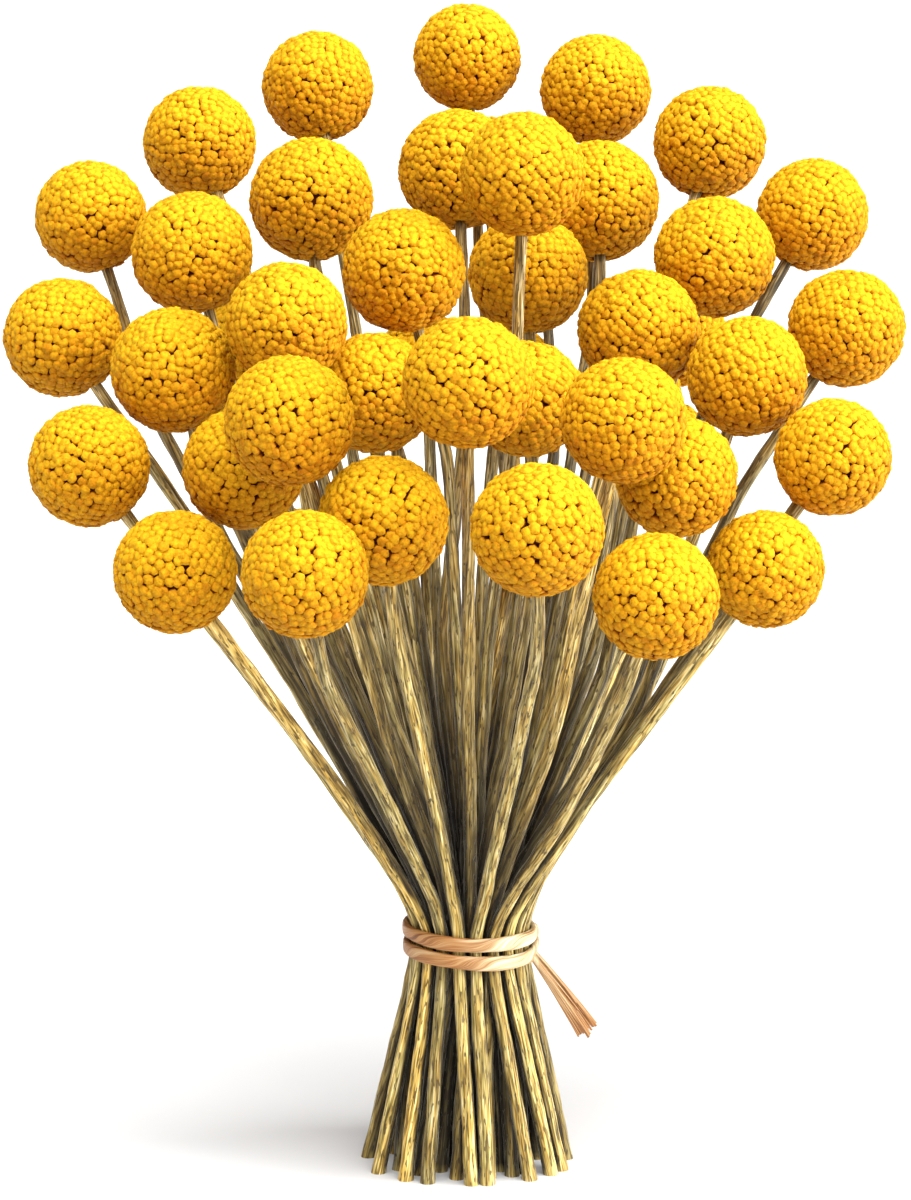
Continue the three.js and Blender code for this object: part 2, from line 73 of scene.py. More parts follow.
STEM_WAVER = 0.4 * MM  # width of the band in which a stem wavers
WAVER_LENGTH = 16 * MM
WAVER_FADE = 6 * MM  # height over which the waver fades in above the foot
NOISE_SPREAD = 40.0  # how far apart two stems' places in these noises can be, in lengths
STEM_RIDGE = 0.85 * MM
RIDGE_WIDTH = 1.1 * MM
RIDGE_LENGTH = 12 * MM
STEM_TWIST = 26.0  # radians for each metre, times a share that differs from stem to stem
TWIST_LEAST = -0.45
TWIST_RANGE = 1.6  # from the least share to the greatest
STEM_IN_HEAD = 4.0 * MM
CUT_END = 0.1 * MM  # a corner this close to its stem's start is on the cut end
CUT_FACING = -0.95  # a face with less than this along z in its normal is a cut end
# The room around a stem's skin, from which its material paints shade deep in the bundle.
STEM_ROOM = (  # reach outwards, distance to the next line if shut in and if open, openness if shut in
    (2.5 * MM, 0.9 * MM, 2.8 * MM, 0.12), (6.0 * MM, 2.2 * MM, 6.5 * MM, 0.35),
    (14.0 * MM, 4.0 * MM, 13.0 * MM, 0.4))
RING = 6  # corners of the solid stems' six-sided rings
SLACK = 0.5 * MM  # how far past its two heights a length's corners may lie


def separate_lengths(mesh, lowest, highest):
    """The corner points of each separate stem length that lies between two heights."""
    lengths = []
    for face in mesh.polygons:
        corners = {tuple(round(c, 6) for c in mesh.vertices[i].co) for i in face.vertices}
        if all(lowest - SLACK < z < highest + SLACK for x, y, z in corners):
            touched = [length for length in lengths if length & corners]
            lengths = [length for length in lengths if length not in touched]
            lengths.append(corners.union(*touched))
    return [sorted(length, key=lambda corner: corner[2]) for length in lengths]


def ring_middles(corners):
    """The middle of each ring of corners, from the lowest ring up."""
    rings = [corners[i:i + RING] for i in range(0, len(corners), RING)]
    return [sum((Vector(corner) for corner in ring), Vector()) / len(ring) for ring in rings]


def stem_lines(node):
    """The middle line of each stem in a solid of several, from its foot to its flower head."""
    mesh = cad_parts[node].data
    feet = [ring_middles(c) for c in separate_lengths(mesh, 0, WAIST_BOTTOM)]
    tops = [ring_middles(c) for c in separate_lengths(mesh, WAIST_TOP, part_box(node)[1].z)]
    lines = []
    for top in tops:
        foot = min(feet, key=lambda f: (f[-1].xy - top[0].xy).length)
        lines.append(foot + top)
    return lines


def rounded(line):
    """The same line with each of its bends drawn as a short curve."""
    points = [line[0]]
    for before, bend, after in zip(line, line[1:], line[2:]):
        ways = [point - bend for point in (before, after)]
        start, end = [bend + way.normalized() * min(STEM_BEND, BEND_SHARE * way.length) for way in ways]
        points += [start, start.lerp(bend, 0.5).lerp(bend.lerp(end, 0.5), 0.5), end]
    return points + [line[-1]]


def corner_points(node):
    """Every corner point of a solid, once."""
    points = {tuple(round(c, 6) for c in v.co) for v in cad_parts[node].data.vertices}
    return [Vector(point) for point in sorted(points)]


head_nodes = sorted(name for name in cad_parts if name.startswith("flower_head"))
heads = {}
for node in head_nodes:
    corners = corner_points(node)
    middle = sum(corners, Vector()) / len(corners)
    heads[node] = (middle, max((corner - middle).length for corner in corners))
head_stem = {}  # for each head, the direction from its middle to its stem
stem_nodes = sorted(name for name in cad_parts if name.startswith("stems"))
lines = {node: stem_lines(node) for node in stem_nodes}
for line in sum(lines.values(), []):
    head = min(head_nodes, key=lambda node: (heads[node][0] - line[-1]).length)
    away = (line[-1] - heads[head][0]).normalized()
    head_stem[head] = away
    line.append(line[-1] - away * STEM_IN_HEAD)


def add(tree, kind, inputs=(), **settings):
    """Adds a node with its settings and links, its inputs in order or by name. Returns its first output."""
    node = tree.nodes.new(kind)
    for name, value in settings.items():
        setattr(node, name, value)
    sockets = [socket for socket in node.inputs if socket.enabled]
    pairs = inputs.items() if isinstance(inputs, dict) else enumerate(inputs)
    for key, value in pairs:
        socket = sockets[key] if isinstance(key, int) else next(s for s in sockets if s.name == key)
        if isinstance(value, bpy.types.NodeSocket):
            tree.links.new(value, socket)
        elif value is not None:
            socket.default_value = value
    return next((socket for socket in node.outputs if socket.enabled), None)


def new_tree(name, inputs):
    """An empty geometry tree with named inputs and one output. Returns it and its inputs' sockets."""
    tree = bpy.data.node_groups.new(name, "GeometryNodeTree")
    for label, kind in inputs:
        tree.interface.new_socket(label, in_out="INPUT", socket_type="NodeSocket" + kind)
    tree.interface.new_socket("Result", in_out="OUTPUT", socket_type="NodeSocketGeometry")
    return tree, tree.nodes.new("NodeGroupInput").outputs


def grown(name, start, tree, inputs):
    """The plain mesh object that a tree makes from a starting object, which is then thrown away."""
    bpy.context.collection.objects.link(start)
    modifier = start.modifiers.new(tree.name, "NODES")
    modifier.node_group = tree
    for socket in tree.interface.items_tree:
        if socket.name in inputs:
            modifier[socket.identifier] = inputs[socket.name]
    depsgraph = bpy.context.evaluated_depsgraph_get()
    evaluated = start.evaluated_get(depsgraph)
    mesh = bpy.data.meshes.new_from_object(evaluated, preserve_all_data_layers=True, depsgraph=depsgraph)
    start.modifiers.remove(modifier)
    bpy.data.objects.remove(start)
    piece = bpy.data.objects.new(name, mesh)
    bpy.context.collection.objects.link(piece)
    return piece


stem_tree, given = new_tree("ribbed stem", [
    ("Lines", "Geometry"), ("Foot Radius", "Float"), ("Waist Radius", "Float"), ("Fan Radius", "Float"),
    ("Neck Radius", "Float"), ("Lean Together", "Float"), ("Sides", "Int"), ("Step", "Float"),
    ("Unevenness", "Float"), ("Waver", "Float"), ("Ridge", "Float"), ("Twist", "Float"), ("Seed", "Int"),
    ("All Lines", "Object"), ("Surface", "Material")])
place = add(stem_tree, "GeometryNodeInputPosition")
normal = add(stem_tree, "GeometryNodeInputNormal")
place_parts = add(stem_tree, "ShaderNodeSeparateXYZ", [place]).node.outputs
sideways, height = place_parts["X"], place_parts["Z"]

# Each line is cut into even steps, and gets a value of its own that its stem's twist and its places in the
# noises start from.
line = add(stem_tree, "GeometryNodeResampleCurve", {"Curve": given["Lines"], "Length": given["Step"]},
           mode="LENGTH")
own_value = add(stem_tree, "FunctionNodeRandomValue", {"Seed": given["Seed"]})
line = add(stem_tree, "GeometryNodeStoreNamedAttribute", [line, None, "start", own_value], domain="CURVE")
length = add(stem_tree, "GeometryNodeSplineParameter").node.outputs["Length"]
line = add(stem_tree, "GeometryNodeStoreNamedAttribute", [line, None, "along", length])
start = add(stem_tree, "GeometryNodeInputNamedAttribute", ["start"])
twist = add(stem_tree, "ShaderNodeMath", [start, TWIST_RANGE, TWIST_LEAST], operation="MULTIPLY_ADD")
twist = add(stem_tree, "ShaderNodeMath", [twist, given["Twist"]], operation="MULTIPLY")
turn = add(stem_tree, "ShaderNodeMath", [length, twist, start], operation="MULTIPLY_ADD")
line = add(stem_tree, "GeometryNodeSetCurveTilt", [line, None, turn])

# The radius goes from the foot's to the waist's, the fan's and the neck's, and swells and thins on its way.
below = add(stem_tree, "ShaderNodeMapRange", {
    "Value": height, "From Max": WAIST_BOTTOM, "To Min": given["Foot Radius"],
    "To Max": given["Waist Radius"]})
above = add(stem_tree, "ShaderNodeMapRange", {
    "Value": height, "From Min": WAIST_TOP, "From Max": TAPER_BOTTOM, "To Min": given["Waist Radius"],
    "To Max": given["Fan Radius"]})
taper = add(stem_tree, "ShaderNodeMapRange", {
    "Value": height, "From Min": TAPER_BOTTOM, "From Max": TAPER_TOP, "To Min": given["Fan Radius"],
    "To Max": given["Neck Radius"]})
radius = add(stem_tree, "ShaderNodeMath", [below, above], operation="MAXIMUM")
tapers = add(stem_tree, "ShaderNodeMath", [height, TAPER_BOTTOM], operation="GREATER_THAN")
radius = add(stem_tree, "ShaderNodeMix", {"Factor": tapers, "A": radius, "B": taper})
flare = add(stem_tree, "ShaderNodeMapRange", {
    "Value": height, "From Max": FLARE_TOP, "To Min": FLARE, "To Max": 1.0})
radius = add(stem_tree, "ShaderNodeMath", [radius, flare], operation="MULTIPLY")
apart = add(stem_tree, "ShaderNodeMath", [start, NOISE_SPREAD], operation="MULTIPLY")
swell_place = add(stem_tree, "ShaderNodeMath", [length, 1 / SWELL_LENGTH, apart], operation="MULTIPLY_ADD")
swell = add(stem_tree, "ShaderNodeTexNoise", {"W": swell_place, "Scale": 1.0}, noise_dimensions="1D")
swell = add(stem_tree, "ShaderNodeMath", [swell, 0.5], operation="SUBTRACT")
swell = add(stem_tree, "ShaderNodeMath", [swell, given["Unevenness"]], operation="MULTIPLY")
swell = add(stem_tree, "ShaderNodeMath", [swell, 2.0, 1.0], operation="MULTIPLY_ADD")
girth = add(stem_tree, "ShaderNodeMath", [radius, swell], operation="MULTIPLY")
line = add(stem_tree, "GeometryNodeStoreNamedAttribute", [line, None, "girth", girth])

# The line wavers sideways, and at the middle of the fan it leans towards the other stems there.
waver_place = add(stem_tree, "ShaderNodeMath", [length, 1 / WAVER_LENGTH, apart], operation="MULTIPLY_ADD")
waver = add(stem_tree, "ShaderNodeTexNoise", {"W": waver_place, "Scale": 1.0}, noise_dimensions="1D")
waver = waver.node.outputs["Color"]
waver = add(stem_tree, "ShaderNodeVectorMath", [waver, (0.5, 0.5, 0.5)], operation="SUBTRACT")
band = add(stem_tree, "ShaderNodeMapRange", {
    "Value": height, "From Max": WAVER_FADE, "To Max": given["Waver"]})
band = add(stem_tree, "ShaderNodeCombineXYZ", [band, band, 0.0])
waver = add(stem_tree, "ShaderNodeVectorMath", [waver, band], operation="MULTIPLY")
aside = add(stem_tree, "ShaderNodeMath", [sideways, LEAN_MIDDLE], operation="SUBTRACT")
far_aside = add(stem_tree, "ShaderNodeMath", [aside, LEAN_REACH], operation="DIVIDE")
far_aside = add(stem_tree, "ShaderNodeMath", [far_aside, far_aside], operation="MULTIPLY")
far_aside = add(stem_tree, "ShaderNodeMath", [far_aside, -1.0], operation="MULTIPLY")
lean = add(stem_tree, "ShaderNodeMath", [far_aside], operation="EXPONENT")
lean = add(stem_tree, "ShaderNodeMath", [lean, aside], operation="MULTIPLY")
lean = add(stem_tree, "ShaderNodeMath", [lean, given["Lean Together"]], operation="MULTIPLY")
for none, full in LEAN_HEIGHTS:
    share = add(stem_tree, "ShaderNodeMapRange", {"Value": height, "From Min": none, "From Max": full})
    lean = add(stem_tree, "ShaderNodeMath", [lean, share], operation="MULTIPLY")
lean = add(stem_tree, "ShaderNodeCombineXYZ", {"X": lean})
moved = add(stem_tree, "ShaderNodeVectorMath", [waver, lean], operation="SUBTRACT")
line = add(stem_tree, "GeometryNodeSetPosition", [line, None, None, moved])

# The skin around the line is ribbed by a noise that is stretched along the stem. The place in the noise is
# kept for the material, as the stem's grain.
circle = add(stem_tree, "GeometryNodeCurvePrimitiveCircle", {"Resolution": given["Sides"], "Radius": 1.0})
circle = add(
    stem_tree, "GeometryNodeStoreNamedAttribute", [circle, None, "around", place], data_type="FLOAT_VECTOR")
girth = add(stem_tree, "GeometryNodeInputNamedAttribute", ["girth"])
skin = add(stem_tree, "GeometryNodeCurveToMesh", [line, circle, girth, True])
along = add(stem_tree, "GeometryNodeInputNamedAttribute", ["along"])
around = add(stem_tree, "GeometryNodeInputNamedAttribute", ["around"], data_type="FLOAT_VECTOR")
around = add(stem_tree, "ShaderNodeVectorMath", {"Vector": around, "Scale": WAIST_RADIUS}, operation="SCALE")
lift = add(stem_tree, "ShaderNodeMath", [along, start], operation="ADD")
lift = add(stem_tree, "ShaderNodeCombineXYZ", {"Z": lift})
grain = add(stem_tree, "ShaderNodeVectorMath", [around, lift], operation="ADD")
skin = add(
    stem_tree, "GeometryNodeStoreNamedAttribute", [skin, None, "grain", grain], data_type="FLOAT_VECTOR")
ridge_place = add(stem_tree, "ShaderNodeVectorMath", [
    grain, (1 / RIDGE_WIDTH, 1 / RIDGE_WIDTH, 1 / RIDGE_LENGTH)], operation="MULTIPLY")
ridge = add(stem_tree, "ShaderNodeTexNoise", {"Vector": ridge_place, "Scale": 1.0, "Detail": 1.0})
skin = add(stem_tree, "GeometryNodeStoreNamedAttribute", [skin, None, "ridge", ridge])
rise = add(stem_tree, "ShaderNodeMath", [ridge, 0.5], operation="SUBTRACT")
rise = add(stem_tree, "ShaderNodeMath", [rise, given["Ridge"]], operation="MULTIPLY")
rise = add(stem_tree, "ShaderNodeVectorMath", {"Vector": normal, "Scale": rise}, operation="SCALE")
at_foot = add(stem_tree, "ShaderNodeMath", [along, CUT_END], operation="LESS_THAN")
on_side = add(stem_tree, "FunctionNodeBooleanMath", [at_foot], operation="NOT")
skin = add(stem_tree, "GeometryNodeSetPosition", [skin, on_side, None, rise])

# The foot is cut level with the floor, with a sharp edge.
level = add(stem_tree, "ShaderNodeVectorMath", [place, (1.0, 1.0, 0.0)], operation="MULTIPLY")
skin = add(stem_tree, "GeometryNodeSetPosition", [skin, at_foot, level])
upright = add(stem_tree, "ShaderNodeSeparateXYZ", [normal]).node.outputs["Z"]
round_side = add(stem_tree, "ShaderNodeMath", [upright, CUT_FACING], operation="GREATER_THAN")
skin = add(stem_tree, "GeometryNodeStoreNamedAttribute", [skin, None, "tone", start])

# Openness is how far away the other stems are from the skin; the material paints shade from it deep in the
# bundle.
all_lines = add(stem_tree, "GeometryNodeObjectInfo", {"Object": given["All Lines"]}).node.outputs["Geometry"]
all_lines = add(stem_tree, "GeometryNodeCurveToMesh", [all_lines])
openness = 1.0
for reach, shut_in, in_the_open, least in STEM_ROOM:
    ahead = add(stem_tree, "ShaderNodeVectorMath", {"Vector": normal, "Scale": reach}, operation="SCALE")
    ahead = add(stem_tree, "ShaderNodeVectorMath", [place, ahead], operation="ADD")
    room = add(stem_tree, "GeometryNodeProximity", {"Geometry": all_lines, "Sample Position": ahead},
               target_element="EDGES").node.outputs["Distance"]
    room = add(stem_tree, "ShaderNodeMapRange", {
        "Value": room, "From Min": shut_in, "From Max": in_the_open, "To Min": least})
    openness = add(stem_tree, "ShaderNodeMath", [openness, room], operation="MULTIPLY")
skin = add(stem_tree, "GeometryNodeStoreNamedAttribute", [skin, None, "openness", openness])
for helper in ("start", "along", "around", "girth"):
    skin = add(stem_tree, "GeometryNodeRemoveAttribute", [skin, helper])
skin = add(stem_tree, "GeometryNodeSetShadeSmooth", [skin, round_side, True])
skin = add(stem_tree, "GeometryNodeRealizeInstances", [skin])
skin = add(stem_tree, "GeometryNodeSetMaterial", [skin, None, given["Surface"]])
add(stem_tree, "NodeGroupOutput", [skin])


def linear(hex_code):
    """A linear colour, with its alpha of 1, from an sRGB hex value."""
    parts = [int(hex_code[i:i + 2], 16) / 255 for i in (1, 3, 5)]
    return (*(p / 12.92 if p <= 0.04045 else ((p + 0.055) / 1.055) ** 2.4 for p in parts), 1.0)


def new_material(name):
    """A material with an empty tree and its surface shader."""
    material = bpy.data.materials.new(name)
    material.use_nodes = True
    tree = material.node_tree
    tree.nodes.clear()
    shader = tree.nodes.new("ShaderNodeBsdfPrincipled")
    add(tree, "ShaderNodeOutputMaterial", {"Surface": shader.outputs[0]})
    return material, tree, shader


def ramp(tree, value, stops, hex_codes):
    """A colour ramp over a value, from its stops and the sRGB hex colour at each of them."""
    colour = add(tree, "ShaderNodeValToRGB", [value])
    elements = colour.node.color_ramp.elements
    while len(elements) < len(stops):
        elements.new(0.5)
    for element, stop, hex_code in zip(elements, stops, hex_codes):
        element.position = stop
        element.color = linear(hex_code)
    return colour


# Dried stem: a dull khaki skin with fine lengthwise fibres, golden in streaks and greyer and darker towards
# the flowers, partly painted shade from the heads above, with short brown cracks. Its pale down catches light
# at the edges, its sides deep in the bundle are painted nearly black as shade, and the cut ends show pale
# pith.
dried_stem, tree, shader = new_material("dried_stem_matte_ribbed")
grain = add(tree, "ShaderNodeAttribute", attribute_name="grain").node.outputs["Vector"]
ridge = add(tree, "ShaderNodeAttribute", attribute_name="ridge").node.outputs["Fac"]
tone = add(tree, "ShaderNodeAttribute", attribute_name="tone").node.outputs["Fac"]


def stem_noise(width, length, detail):
    """A noise over the stem's skin, stretched along it: its grain is so wide and so long."""
    size = (1 / width, 1 / width, 1 / length)
    place = add(tree, "ShaderNodeVectorMath", [grain, size], operation="MULTIPLY")
    return add(tree, "ShaderNodeTexNoise", {"Vector": place, "Scale": 1.0, "Detail": detail})


fibre = stem_noise(0.42 * MM, 7 * MM, 1.5)
relief = add(tree, "ShaderNodeMath", [ridge, 0.15], operation="MULTIPLY")
relief = add(tree, "ShaderNodeMath", [fibre, 0.86, relief], operation="MULTIPLY_ADD")
stops = (0.3, 0.39, 0.5, 0.61, 0.72)
khaki = ramp(tree, relief, stops, ("#392A0C", "#736029", "#A9954F", "#D6C27F", "#FCEAB8"))
golden = ramp(tree, relief, stops, ("#3F2807", "#7D5A11", "#B48A32", "#DEB453", "#FCE093"))
grey = ramp(tree, relief, stops, ("#1C1408", "#43361A", "#71603A", "#AD9A6D", "#F2DFB0"))
place = add(tree, "ShaderNodeTexCoord").node.outputs["Object"]
height = add(tree, "ShaderNodeSeparateXYZ", [place]).node.outputs["Z"]
# Greyer and darker upwards: partly the stems' own grey, partly painted shade from the heads above.
greyer = add(tree, "ShaderNodeMapRange", {
    "Value": height, "From Min": 110 * MM, "From Max": 210 * MM, "To Max": 0.85})
colour = add(tree, "ShaderNodeMix", {"Factor": greyer, "A": khaki, "B": grey}, data_type="RGBA")
streak = stem_noise(0.7 * MM, 16 * MM, 1.0)
streak = add(tree, "ShaderNodeMapRange", {
    "Value": streak, "From Min": 0.48, "From Max": 0.62, "To Max": 0.65})
colour = add(tree, "ShaderNodeMix", {"Factor": streak, "A": colour, "B": golden}, data_type="RGBA")
browner = add(tree, "ShaderNodeMapRange", {"Value": tone, "From Min": 0.55, "To Max": 0.5})
colour = add(tree, "ShaderNodeMix", {"Factor": browner, "A": colour, "B": golden}, data_type="RGBA")
# Seven cycles over the same value, so that the pale stems aren't always the brown ones.
paleness = add(tree, "ShaderNodeMath", [tone, 7.0], operation="MULTIPLY")
paleness = add(tree, "ShaderNodeMath", [paleness], operation="FRACT")
paleness = add(tree, "ShaderNodeMapRange", {"Value": paleness, "To Min": 0.5, "To Max": 1.22})
colour = add(tree, "ShaderNodeVectorMath", {"Vector": colour, "Scale": paleness}, operation="SCALE")
crack = stem_noise(0.5 * MM, 2.6 * MM, 1.0)
crack = add(tree, "ShaderNodeMapRange", {"Value": crack, "From Min": 0.6, "From Max": 0.66, "To Max": 0.8})
colour = add(tree, "ShaderNodeMix", {"Factor": crack, "A": colour, "B": linear("#443008")}, data_type="RGBA")
# Painted shade: where other stems stand close, the skin is darkened towards near black.
openness = add(tree, "ShaderNodeAttribute", attribute_name="openness").node.outputs["Fac"]
openness = add(tree, "ShaderNodeMapRange", {"Value": openness, "From Min": 0.14, "From Max": 0.86})
colour = add(tree, "ShaderNodeMix", {
    "Factor": openness, "A": linear("#1E1606"), "B": colour}, data_type="RGBA")
facing = add(tree, "ShaderNodeNewGeometry").node.outputs["Normal"]
facing_up = add(tree, "ShaderNodeSeparateXYZ", [facing]).node.outputs["Z"]
cut = add(tree, "ShaderNodeMath", [facing_up, CUT_FACING], operation="LESS_THAN")
colour = add(tree, "ShaderNodeMix", {"Factor": cut, "A": colour, "B": linear("#B8AA81")}, data_type="RGBA")
tree.links.new(colour, shader.inputs["Base Color"])
shader.inputs["Roughness"].default_value = 0.6
shader.inputs["Specular IOR Level"].default_value = 0.4
shader.inputs["Sheen Weight"].default_value = 0.3
shader.inputs["Sheen Roughness"].default_value = 0.3
shader.inputs["Sheen Tint"].default_value = linear("#FFF6DC")
depth = add(tree, "ShaderNodeMath", [crack, -0.5, fibre], operation="MULTIPLY_ADD")
bump = add(tree, "ShaderNodeBump", {"Strength": 0.9, "Distance": 0.45 * MM, "Height": depth})
tree.links.new(bump, shader.inputs["Normal"])


def line_object(name, lines):
    """A curve object with one straight-sided spline for each line."""
    curve = bpy.data.curves.new(name, "CURVE")
    curve.dimensions = "3D"
    for line in lines:
        spline = curve.splines.new("POLY")
        spline.points.add(len(line) - 1)
        for point, middle in zip(spline.points, line):
            point.co = (*middle, 1)
    return bpy.data.objects.new(name, curve)


lines = {node: [rounded(line) for line in lines[node]] for node in stem_nodes}
all_lines = line_object("all_stem_lines", [line for node in stem_nodes for line in lines[node]])
for number, node in enumerate(stem_nodes, 1):
    stem_curves = line_object(f"stem_lines_{number:02d}", lines[node])
    piece = grown(f"dried_stems_{number:02d}", stem_curves, stem_tree, {
        "Foot Radius": FOOT_RADIUS, "Waist Radius": WAIST_RADIUS, "Fan Radius": FAN_RADIUS,
        "Neck Radius": NECK_RADIUS, "Lean Together": LEAN_TOGETHER, "Sides": STEM_SIDES, "Step": STEM_STEP,
        "Unevenness": STEM_UNEVENNESS, "Waver": STEM_WAVER, "Ridge": STEM_RIDGE, "Twist": STEM_TWIST,
        "Seed": number, "All Lines": all_lines, "Surface": dried_stem})
    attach(piece, "root")
    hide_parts(node)
bpy.data.objects.remove(all_lines)

# ---------------------------------------------------------------- Flower heads
# Each globe is one composite flower: several hundred tubular florets with four or five lobes, crowded evenly
# over a round core. Dried, their tips keep their yellow; down into the gaps between them they are orange to
# red-brown, partly their own colour and partly painted shade.

FLORET_PITCH = 2.3 * MM
FLORET_HEIGHT = 2.9 * MM
FLORET_REACH = 1.5 * MM  # from the middle of a floret to the ends of its lobes
FLORET_FOOT = 0.55  # share of that reach
LOBE_REACH = (0.94, 1.04)
NOTCH_REACH = (0.84, 0.91)
ROUND_REACH = (0.82, 0.9)  # all around a round closed floret
RIM_RISE = (0.83, 0.89)  # share of a floret's height at which its lobes and notches end
FLORET_LOBES = (5, 5, 5, 4, 5, 4)  # of each form of floret
ROUND_LOBES = 4  # a form with so many is round and closed
OPEN_FLORETS = (2,)  # forms that have opened, with a dimple in the middle
OPEN_TOP = 0.88  # share of the height to which the dimple goes down
OPEN_RISE = 0.82  # and the share that it is coloured for
FLORET_SINK = 0.45 * MM  # how much deeper than the others a floret can sit
FLORET_LEAN = 0.2  # radians
FLORET_LEAST = (0.88, 0.88, 0.95)  # size of the slimmest floret, across and in height
FLORET_MOST = (1.08, 1.08, 1.0)
FLORET_STRAY = 0.02  # share of the head's radius by which a floret strays before the evening out
FLORET_ROOM = 1.05  # pitches that the evening out gives each floret
EVENING_STEPS = 40
EVENING_PUSH = 0.45  # share of a floret's lack of room that one step gives it
CORE_DEPTH = 0.52  # share of the florets' height
BARE_ROUND_STEM = 9.0  # degrees
RIPEST = 0.35  # the most that a whole head goes over to the golden colour

chance = random.Random(7)


def ring_corner(i, count, radius, height):
    """One of so many corners around a level ring."""
    angle = math.tau * i / count
    return radius * math.cos(angle), radius * math.sin(angle), height


# A floret's corners are its foot, then its lobes and notches in turn, then the middle of its top.
floret_forms = bpy.data.collections.new("floret_forms")
for form, lobes in enumerate(FLORET_LOBES):
    corners = [ring_corner(i, lobes, FLORET_FOOT * FLORET_REACH, 0.0) for i in range(lobes)]
    rises = [0.0] * lobes
    for i in range(2 * lobes):
        reach = chance.uniform(*(NOTCH_REACH if i % 2 else LOBE_REACH))
        if lobes == ROUND_LOBES:
            reach = chance.uniform(*ROUND_REACH)
        rise = chance.uniform(*RIM_RISE)
        corners.append(ring_corner(i, 2 * lobes, FLORET_REACH * reach, rise * FLORET_HEIGHT))
        rises.append(rise)
    is_open = form in OPEN_FLORETS
    corners.append((0.0, 0.0, (OPEN_TOP if is_open else 1.0) * FLORET_HEIGHT))
    rises.append(OPEN_RISE if is_open else 1.0)
    top = 3 * lobes
    faces = [tuple(reversed(range(lobes)))]
    for i in range(lobes):
        beside = (i + 1) % lobes
        lobe, notch = lobes + 2 * i, lobes + 2 * i + 1
        next_lobe = lobes + (2 * i + 2) % (2 * lobes)
        faces += [(i, beside, notch), (i, notch, lobe), (beside, next_lobe, notch)]
        faces += [(lobe, notch, top), (notch, next_lobe, top)]
    mesh = bpy.data.meshes.new(f"floret_form_{form + 1}")
    mesh.from_pydata(corners, [], faces)
    mesh.shade_smooth()
    rise = mesh.attributes.new("rise", "FLOAT", "POINT")
    rise.data.foreach_set("value", rises)
    floret_forms.objects.link(bpy.data.objects.new(f"floret_form_{form + 1}", mesh))

head_tree, given = new_tree("globe of florets", [
    ("Core", "Geometry"), ("Middle", "Vector"), ("Radius", "Float"), ("Floret Height", "Float"),
    ("Florets", "Int"), ("Spacing", "Float"), ("Evening Steps", "Int"), ("Evening Push", "Float"),
    ("Turn", "Vector"), ("Stem", "Vector"), ("Bare Round Stem", "Float"), ("Ripeness", "Float"),
    ("Seed", "Int"), ("Forms", "Collection"), ("Surface", "Material")])

# The florets start on a spiral from pole to pole of a ball with a radius of 1, and stray a little from it.
index = add(head_tree, "GeometryNodeInputIndex")
middle = add(head_tree, "ShaderNodeMath", [index, 2.0, 1.0], operation="MULTIPLY_ADD")
share = add(head_tree, "ShaderNodeMath", [middle, given["Florets"]], operation="DIVIDE")
level = add(head_tree, "ShaderNodeMath", [1.0, share], operation="SUBTRACT")
square = add(head_tree, "ShaderNodeMath", [level, level], operation="MULTIPLY")
square = add(head_tree, "ShaderNodeMath", [1.0, square], operation="SUBTRACT")
girth = add(head_tree, "ShaderNodeMath", [square], operation="SQRT")
golden_angle = math.pi * (3 - math.sqrt(5))
angle = add(head_tree, "ShaderNodeMath", [index, golden_angle], operation="MULTIPLY")
across = add(head_tree, "ShaderNodeMath", [angle], operation="COSINE")
across = add(head_tree, "ShaderNodeMath", [across, girth], operation="MULTIPLY")
deep = add(head_tree, "ShaderNodeMath", [angle], operation="SINE")
deep = add(head_tree, "ShaderNodeMath", [deep, girth], operation="MULTIPLY")
direction = add(head_tree, "ShaderNodeCombineXYZ", [across, deep, level])
turn = add(head_tree, "FunctionNodeEulerToRotation", [given["Turn"]])
direction = add(head_tree, "FunctionNodeRotateVector", [direction, turn])
florets = add(head_tree, "GeometryNodePoints", [given["Florets"], direction])
stray = add(head_tree, "FunctionNodeRandomValue", {
    "Min": (-FLORET_STRAY,) * 3, "Max": (FLORET_STRAY,) * 3, "Seed": given["Seed"]}, data_type="FLOAT_VECTOR")
florets = add(head_tree, "GeometryNodeSetPosition", [florets, None, None, stray])

# Then each is pushed away from its nearest neighbour, over and over, until all have about the same room.
even = add(head_tree, "GeometryNodeInputPosition")
again = head_tree.nodes.new("GeometryNodeRepeatInput")
until = head_tree.nodes.new("GeometryNodeRepeatOutput")
again.pair_with_output(until)
head_tree.links.new(given["Evening Steps"], again.inputs["Iterations"])
head_tree.links.new(florets, again.inputs["Geometry"])
closest = add(head_tree, "GeometryNodeIndexOfNearest", [even])
closest = add(head_tree, "GeometryNodeFieldAtIndex", {"Index": closest, "Value": even},
              data_type="FLOAT_VECTOR")
apart = add(head_tree, "ShaderNodeVectorMath", [even, closest], operation="SUBTRACT")
distance = add(head_tree, "ShaderNodeVectorMath", [apart], operation="LENGTH").node.outputs["Value"]
lack = add(head_tree, "ShaderNodeMath", [given["Spacing"], distance], operation="SUBTRACT")
lack = add(head_tree, "ShaderNodeMath", [lack, 0.0], operation="MAXIMUM")
push = add(head_tree, "ShaderNodeMath", [lack, given["Evening Push"]], operation="MULTIPLY")
push_way = add(head_tree, "ShaderNodeVectorMath", [apart], operation="NORMALIZE")
push = add(head_tree, "ShaderNodeVectorMath", {"Vector": push_way, "Scale": push}, operation="SCALE")
pushed = add(head_tree, "ShaderNodeVectorMath", [even, push], operation="ADD")
pushed = add(head_tree, "ShaderNodeVectorMath", [pushed], operation="NORMALIZE")
evened = add(head_tree, "GeometryNodeSetPosition", [again.outputs["Geometry"], None, pushed])
head_tree.links.new(evened, until.inputs["Geometry"])
florets = until.outputs["Geometry"]

